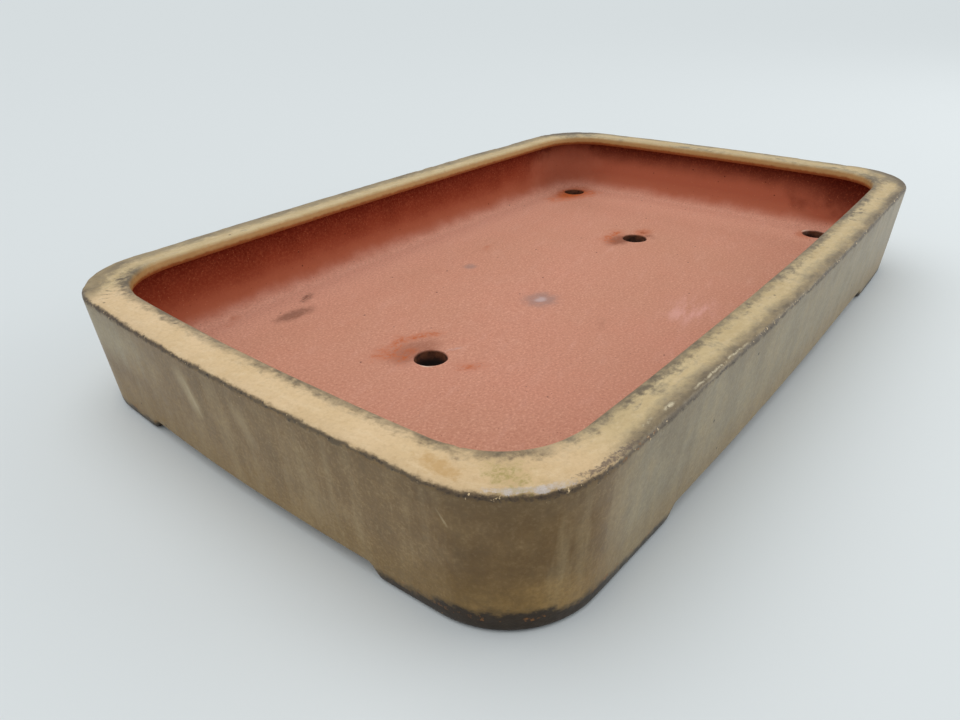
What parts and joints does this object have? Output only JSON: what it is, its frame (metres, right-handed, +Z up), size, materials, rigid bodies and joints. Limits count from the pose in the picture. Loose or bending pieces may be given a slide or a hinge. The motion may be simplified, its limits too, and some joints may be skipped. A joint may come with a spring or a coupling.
{
  "type": "bonsai pot",
  "caption": "Shallow rectangular stoneware bonsai tray with rounded corners, an inward lip, low corner feet and drain holes; glazed outside, bare clay inside.",
  "frame": {"origin": "on the table, under the middle of the tray, at the foot faces' height", "axes": "+Z up, +X along the tray's length, -Y towards the front long side"},
  "size_m": [0.55, 0.3558, 0.0725],
  "materials": {
    "ash_glaze": "weathered satin ash glaze, olive-grey to buff, brown where it is thin",
    "bare_clay": "unglazed red-brown stoneware, matt, fine grained"
  },
  "bodies": {
    "root": {"floor_slab": "bare_clay", "cove_front": "bare_clay", "cove_back": "bare_clay", "cove_left": "bare_clay", "cove_right": "bare_clay", "wall_front": "ash_glaze", "wall_back": "ash_glaze", "wall_left": "ash_glaze", "wall_right": "ash_glaze", "corner_front_left": "ash_glaze", "corner_front_right": "ash_glaze", "corner_back_left": "ash_glaze", "corner_back_right": "ash_glaze", "rim_front": "ash_glaze", "rim_back": "ash_glaze", "rim_left": "ash_glaze", "rim_right": "ash_glaze", "foot_front_left": "ash_glaze", "foot_front_right": "ash_glaze", "foot_back_left": "ash_glaze", "foot_back_right": "ash_glaze"}
  },
  "joints": []
}
